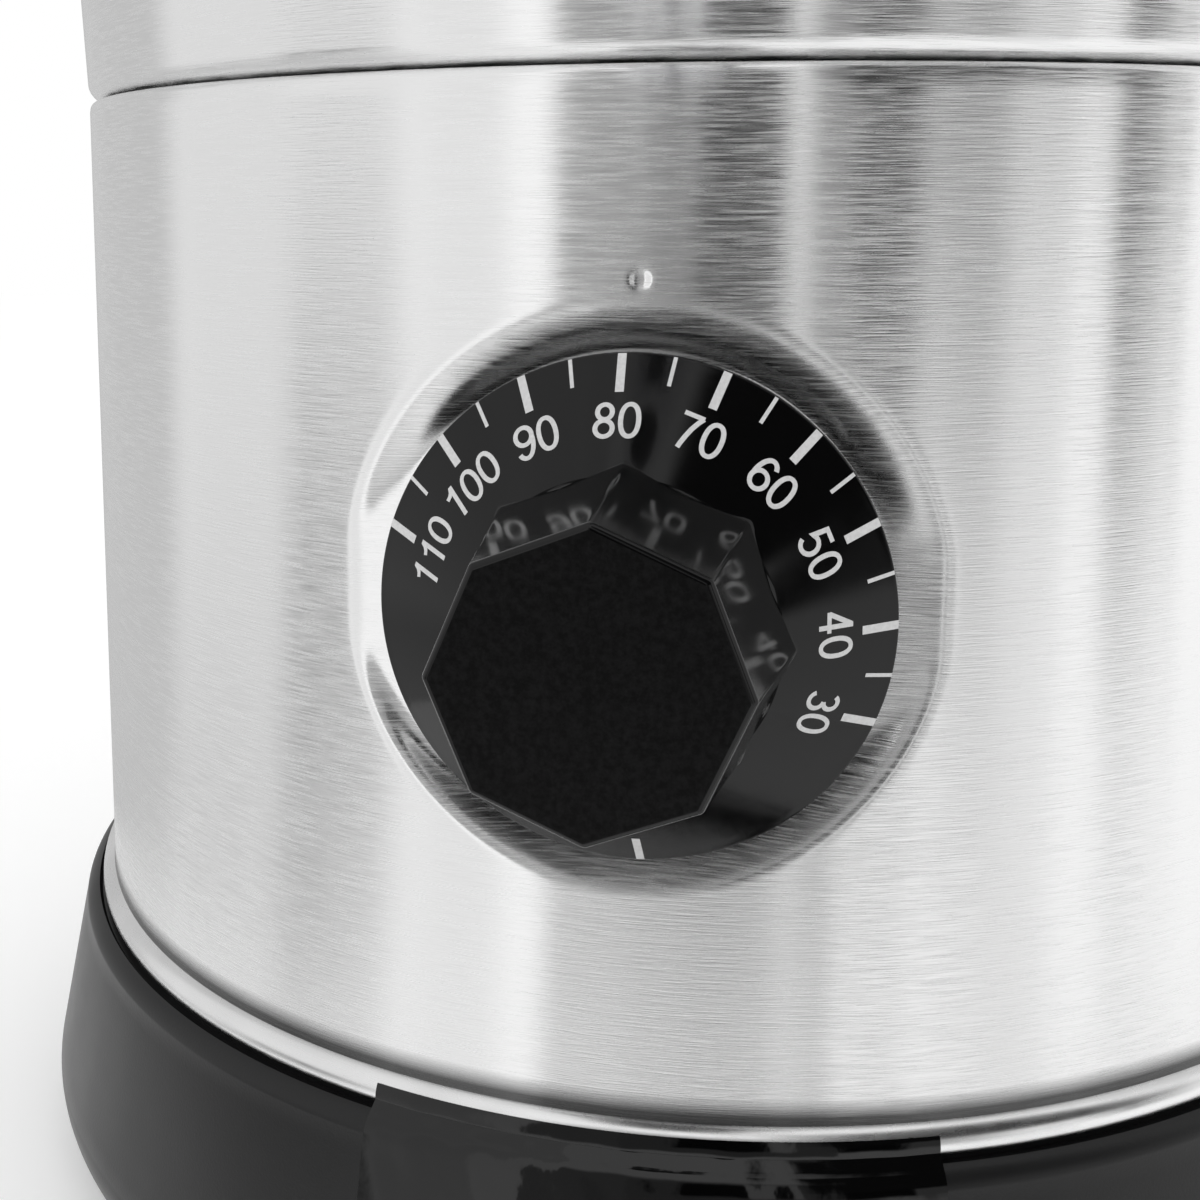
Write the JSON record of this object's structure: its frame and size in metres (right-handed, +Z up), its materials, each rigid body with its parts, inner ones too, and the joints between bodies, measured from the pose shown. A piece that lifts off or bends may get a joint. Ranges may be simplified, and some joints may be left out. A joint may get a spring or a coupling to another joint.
{
  "type": "mulled wine kettle",
  "caption": "Electric mulled wine kettle with a double-walled steel tank, a lid, side handles, a lever tap and a thermostat dial on a flared black base.",
  "frame": {"origin": "on the body's vertical axis, on the plane that the rubber ring stands on", "axes": "+Z up along the body's axis; -Y towards the front, where the dial and the tap are; +X to the right seen from the front"},
  "size_m": [0.3074, 0.2833, 0.4892],
  "materials": {
    "body_steel": "stainless sheet with a fine brushed grain that runs round the body",
    "bright_steel": "stainless sheet, spun and satin polished",
    "base_plastic": "satin black heat-resistant plastic with a fine moulded texture",
    "knob_plastic": "black plastic, glossy sides, slightly mottled matt front",
    "film": "bare glossy black film",
    "socket_plastic": "black moulded plastic",
    "ceramic_white": "pale moulded body",
    "seal_rubber": "black rubber",
    "seal_silicone": "pale silicone rubber",
    "tap_chrome": "chromed metal",
    "fastener_steel": "plain stainless steel",
    "shield_steel": "thin steel sheet",
    "plate_aluminium": "rolled aluminium plate",
    "element_steel": "dark heater sheath",
    "bulb_copper": "copper",
    "pin_brass": "brass",
    "mineral_wool": "mineral wool",
    "wire_sleeve": "pale silicone wire sleeve",
    "reset_red": "red plastic"
  },
  "bodies": {
    "root": {"base_housing": "base_plastic", "bottom_cover": "base_plastic", "foot_ring": "seal_rubber", "cover_screws": "fastener_steel", "lower_shell": "body_steel", "label_film": "film", "outer_shell": "body_steel", "inner_tank": "bright_steel", "insulation_sleeve": "mineral_wool", "heat_plate": "plate_aluminium", "heating_element": "element_steel", "heat_shield": "shield_steel", "tie_studs": "fastener_steel", "tie_nuts": "fastener_steel", "thermostat_body": "ceramic_white", "thermostat_screws": "fastener_steel", "sensor_bulb": "bulb_copper", "bulb_clip": "fastener_steel", "capillary_tube": "bulb_copper", "thermal_cutout": "ceramic_white", "reset_ring_nut": "knob_plastic", "power_inlet": "socket_plastic", "inlet_pins": "pin_brass", "inlet_screws": "fastener_steel", "inlet_nuts": "fastener_steel", "wiring": "wire_sleeve", "earth_screw": "pin_brass", "tap_body": "tap_chrome", "tap_spout": "tap_chrome", "tap_gasket": "seal_rubber", "tap_spacer": "fastener_steel", "tank_gasket": "seal_rubber", "tap_nut": "fastener_steel", "tap_bonnet": "tap_chrome", "tap_spring": "fastener_steel", "handle_left": "knob_plastic", "handle_right": "knob_plastic", "handle_washers": "fastener_steel", "handle_screws": "fastener_steel"},
    "dial": {"knob": "knob_plastic", "knob_spring_clip": "fastener_steel", "thermostat_shaft": "fastener_steel"},
    "tap_stem": {"tap_stem": "fastener_steel", "tap_seal": "seal_silicone", "lever_pin": "fastener_steel"},
    "tap_lever": {"tap_lever": "knob_plastic"},
    "lid": {"lid": "bright_steel", "lid_knob": "knob_plastic", "lid_screw": "fastener_steel"},
    "reset": {"reset_button": "reset_red"}
  },
  "joints": [
    {"name": "dial_turn", "type": "hinge", "parent": "root", "child": "dial", "pos_m": [0, -0.1149, 0.1145], "axis": [0, 1, 0], "range_deg": [-178, 71]},
    {"name": "stem_lift", "type": "slide", "parent": "root", "child": "tap_stem", "axis": [0, 0, 1], "range_m": [0, 0.004], "stiffness_N_per_m": 1000, "springref_m": -0.004, "deforming": ["tap_spring"]},
    {"name": "lever_swing", "type": "hinge", "parent": "tap_stem", "child": "tap_lever", "pos_m": [0, -0.1427, 0.25025], "axis": [1, 0, 0], "range_deg": [0, 90]},
    {"name": "lid_lift", "type": "slide", "parent": "root", "child": "lid", "axis": [0, 0, 1], "range_m": [0, 0.12]},
    {"name": "reset_press", "type": "slide", "parent": "root", "child": "reset", "axis": [0, -1, 0], "range_m": [0, 0.0018], "stiffness_N_per_m": 400, "springref_m": -0.0005}
  ],
  "couplings": [
    {"joint": "lever_swing", "follows": "stem_lift", "rad_per_m": 392.7}
  ]
}
